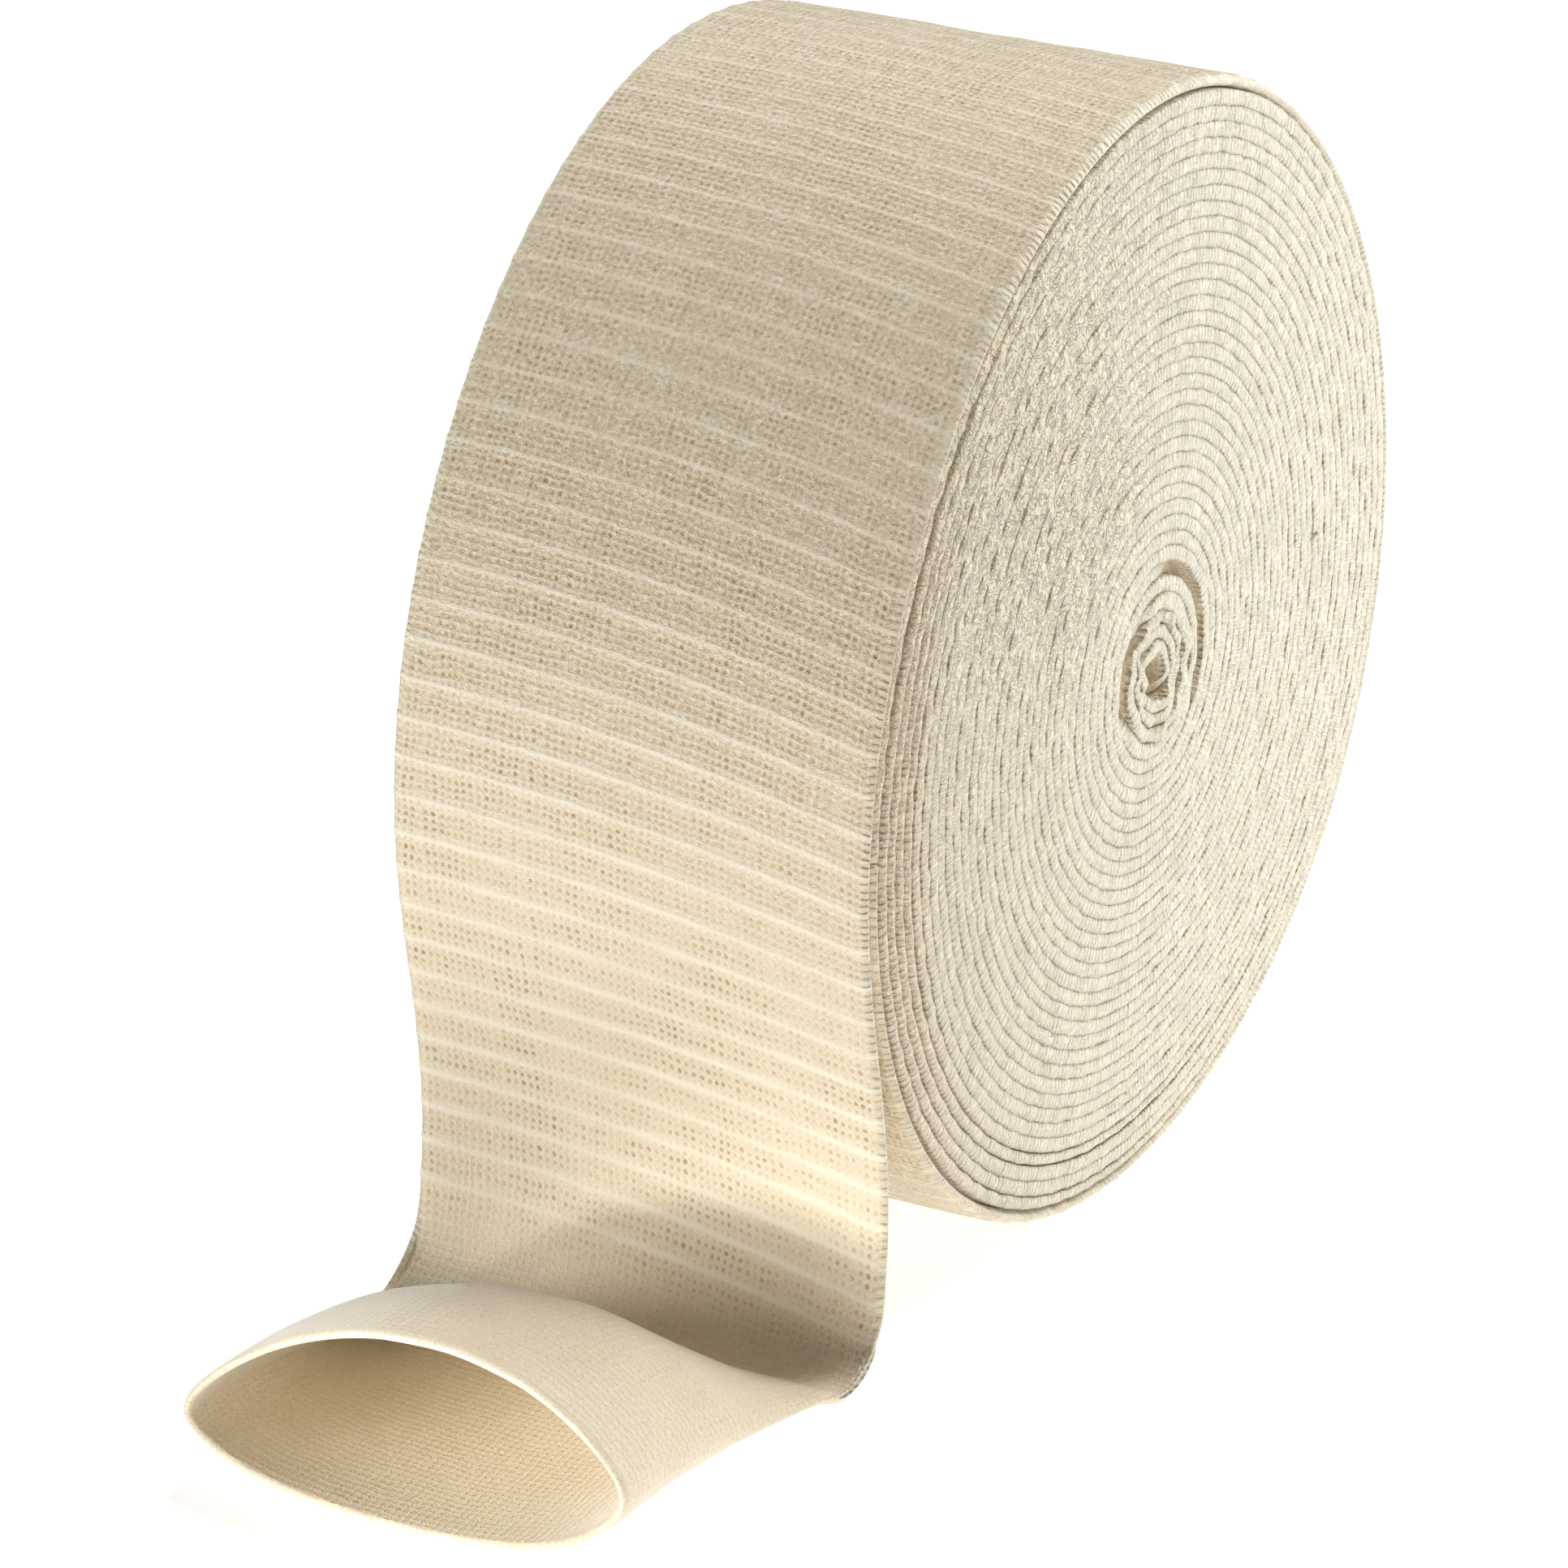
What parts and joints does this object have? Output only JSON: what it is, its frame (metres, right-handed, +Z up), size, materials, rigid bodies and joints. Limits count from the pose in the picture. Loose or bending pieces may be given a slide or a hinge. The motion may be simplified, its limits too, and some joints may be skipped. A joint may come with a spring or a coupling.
{
  "type": "tubular compression bandage",
  "caption": "Roll of ribbed elastic tubular bandage standing on its curved side, its free end hanging down the front and opening as a flat tube mouth on the surface.",
  "frame": {"origin": "on the surface the bandage stands on, under the middle of its bounding box", "axes": "+X along the roll's axis and the flat tube's width, -Y forward towards the open mouth, +Z up"},
  "size_m": [0.075, 0.2362, 0.1646],
  "materials": {
    "knit": "unbleached cream cotton and elastic, ribbed knit, matt"
  },
  "bodies": {
    "root": {"wound_roll": "knit", "loose_end": "knit"}
  },
  "joints": []
}
